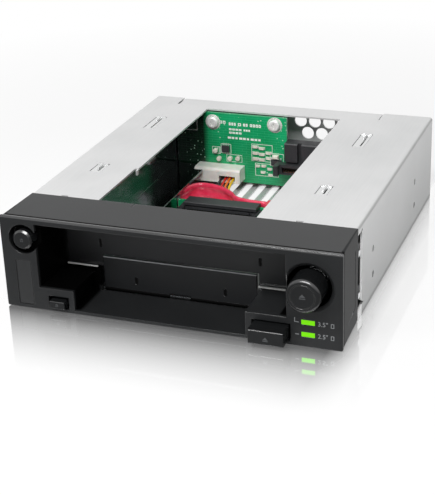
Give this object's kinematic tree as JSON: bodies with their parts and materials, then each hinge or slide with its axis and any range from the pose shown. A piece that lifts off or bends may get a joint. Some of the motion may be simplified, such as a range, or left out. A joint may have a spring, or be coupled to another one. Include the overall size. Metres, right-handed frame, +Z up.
{
  "type": "hot swap drive cage",
  "caption": "Tray-less hot swap cage for a half-height optical bay: sprung doors over a wide and a narrow drive bay, push knobs with eject levers, sheet steel case, internal boards.",
  "frame": {"origin": "centre of the four bottom mounting holes, on the underside of the case", "axes": "+X to the right seen from the front, front bezel towards -Y, drives go in along +Y, +Z up"},
  "size_m": [0.1486, 0.1782, 0.0419],
  "materials": {
    "zinc_sheet": "satin zinc-coated sheet",
    "rail_sheet": "smooth zinc-coated sheet",
    "screw_steel": "nickel plated",
    "spring_steel": "bare spring steel",
    "black_abs": "fine spark texture",
    "door_abs": "smooth satin",
    "gloss_abs": "polished",
    "acetal": "natural satin",
    "green_board": "solder mask",
    "green_light": "lit light guide",
    "chip_black": "moulded epoxy",
    "pale_ceramic": "ceramic and tinned ends",
    "socket_black": "glass-filled nylon",
    "white_nylon": "natural nylon",
    "lead_wire": "PVC insulation",
    "red_pvc": "glossy PVC"
  },
  "bodies": {
    "cage": {"case_shell": "zinc_sheet", "floor_plate": "zinc_sheet", "rear_panel": "zinc_sheet", "rear_panel_screws": "screw_steel", "left_rail": "rail_sheet", "right_rail": "rail_sheet", "bezel": "black_abs", "case_clips": "spring_steel", "blank_insert": "black_abs", "upper_door_pin": "spring_steel", "lower_door_pin": "spring_steel", "upper_door_springs": "spring_steel", "lower_door_spring": "spring_steel", "eject_spring_35": "spring_steel", "pivot_post_35": "screw_steel", "eject_springs_25": "spring_steel", "pivot_post_25": "screw_steel", "front_switches": "socket_black", "switch_board": "green_board", "led_guide_35": "green_light", "led_guide_25": "green_light", "led_board": "green_board", "leds": "green_light", "rear_board": "green_board", "board_standoffs": "screw_steel", "board_screws": "screw_steel", "board_chips": "chip_black", "board_small_parts": "pale_ceramic", "socket_tower": "socket_black", "drive_socket_35": "socket_black", "backplane_25": "green_board", "drive_socket_25": "socket_black", "rear_data_port_a": "socket_black", "rear_data_port_b": "socket_black", "rear_power_port": "socket_black", "power_header": "white_nylon", "power_leads": "lead_wire", "power_plug": "white_nylon", "data_lead": "red_pvc", "data_plugs": "red_pvc"},
    "upper_door": {"upper_door": "door_abs"},
    "lower_door": {"lower_door": "door_abs"},
    "knob": {"eject_knob": "gloss_abs", "eject_bar_35": "spring_steel"},
    "lever_35": {"eject_lever_35": "acetal"},
    "key": {"eject_key": "gloss_abs", "eject_bar_25": "spring_steel"},
    "lever_25": {"eject_lever_25": "acetal"},
    "power_button": {"power_button": "gloss_abs"},
    "release_button": {"release_button": "gloss_abs"}
  },
  "joints": [
    {"name": "upper_door_hinge", "type": "hinge", "parent": "cage", "child": "upper_door", "pos_m": [-0.0044, -0.06742, 0.0392], "axis": [1, 0, 0], "range_deg": [0, 85], "stiffness_Nm_per_rad": 0.003, "springref_deg": -20.05},
    {"name": "lower_door_hinge", "type": "hinge", "parent": "cage", "child": "lower_door", "pos_m": [-0.0039, -0.06832, 0.0019], "axis": [-1, 0, 0], "range_deg": [0, 88], "stiffness_Nm_per_rad": 0.0015, "springref_deg": -20.05},
    {"name": "knob_slide", "type": "slide", "parent": "cage", "child": "knob", "axis": [0, 1, 0], "range_m": [0, 0.008], "stiffness_N_per_m": 120, "springref_m": -0.004, "deforming": ["eject_spring_35"]},
    {"name": "lever_35_pivot", "type": "hinge", "parent": "cage", "child": "lever_35", "pos_m": [0.052, 0.05237, 0.0163], "axis": [0, 0, 1], "range_deg": [0, 51.5]},
    {"name": "key_slide", "type": "slide", "parent": "cage", "child": "key", "axis": [0, 1, 0], "range_m": [0, 0.007], "stiffness_N_per_m": 100, "springref_m": -0.004, "deforming": ["eject_springs_25"]},
    {"name": "lever_25_pivot", "type": "hinge", "parent": "cage", "child": "lever_25", "pos_m": [0.0369, 0.01337, 0.0063], "axis": [0, 0, 1], "range_deg": [0, 49.2]},
    {"name": "power_button_slide", "type": "slide", "parent": "cage", "child": "power_button", "axis": [0, 1, 0], "range_m": [0, 0.0006], "stiffness_N_per_m": 60, "springref_m": -0.002},
    {"name": "release_button_slide", "type": "slide", "parent": "cage", "child": "release_button", "axis": [0, 1, 0], "range_m": [0, 0.0012], "stiffness_N_per_m": 60, "springref_m": -0.002}
  ],
  "couplings": [
    {"joint": "lever_35_pivot", "follows": "knob_slide", "rad_per_m": 111.1},
    {"joint": "lever_25_pivot", "follows": "key_slide", "rad_per_m": 121.2}
  ]
}
